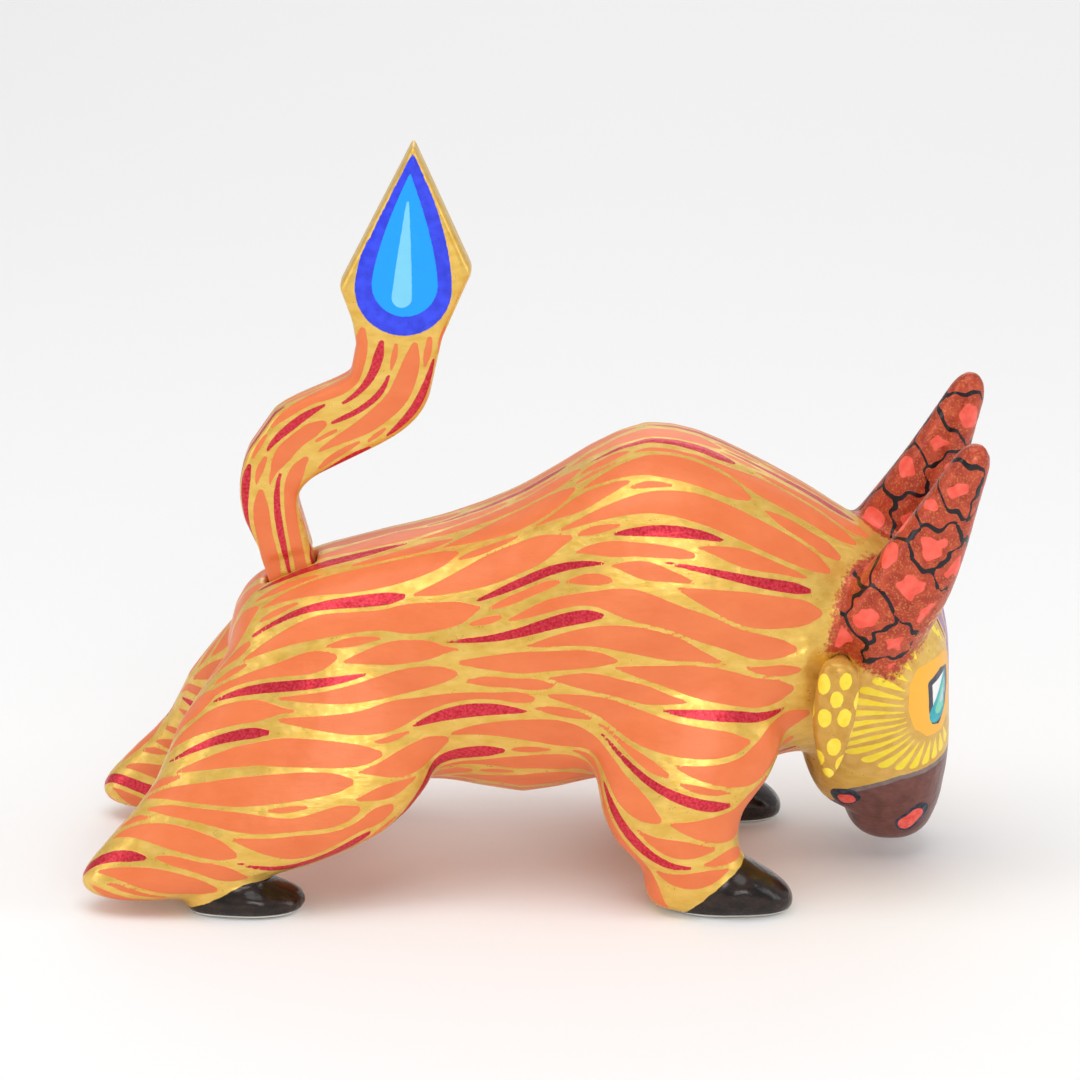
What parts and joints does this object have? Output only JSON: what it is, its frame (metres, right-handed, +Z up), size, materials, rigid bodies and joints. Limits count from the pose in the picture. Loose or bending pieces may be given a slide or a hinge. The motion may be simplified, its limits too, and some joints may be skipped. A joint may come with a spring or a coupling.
{
  "type": "carved wooden bull figure",
  "caption": "Small carved and painted wooden bull with a lowered head, pegged horns and ears, and a flat zigzag tail that lifts out of a socket.",
  "frame": {"origin": "on the surface that the hooves stand on, under the middle of the bounding box", "axes": "+X the way the bull faces, +Y to its left, +Z up"},
  "size_m": [0.177, 0.072, 0.1474],
  "materials": {
    "stroked_paint": "satin acrylic, orange strokes over gold",
    "gold_paint": "satin metallic gold acrylic",
    "horn_paint": "sponged red-brown acrylic",
    "bare_wood": "unpainted",
    "nail_steel": "plain wire nail"
  },
  "bodies": {
    "figure": {"body_block": "stroked_paint", "head": "gold_paint", "neck_dowel": "bare_wood", "neck_nail": "nail_steel", "horn_right": "horn_paint", "horn_left": "horn_paint", "ear_right": "gold_paint", "ear_left": "gold_paint"},
    "tail": {"tail": "stroked_paint"}
  },
  "joints": [
    {"name": "tail_lift", "type": "slide", "parent": "figure", "child": "tail", "axis": [-0.2924, 0, 0.9563], "range_m": [0, 0.02]}
  ]
}
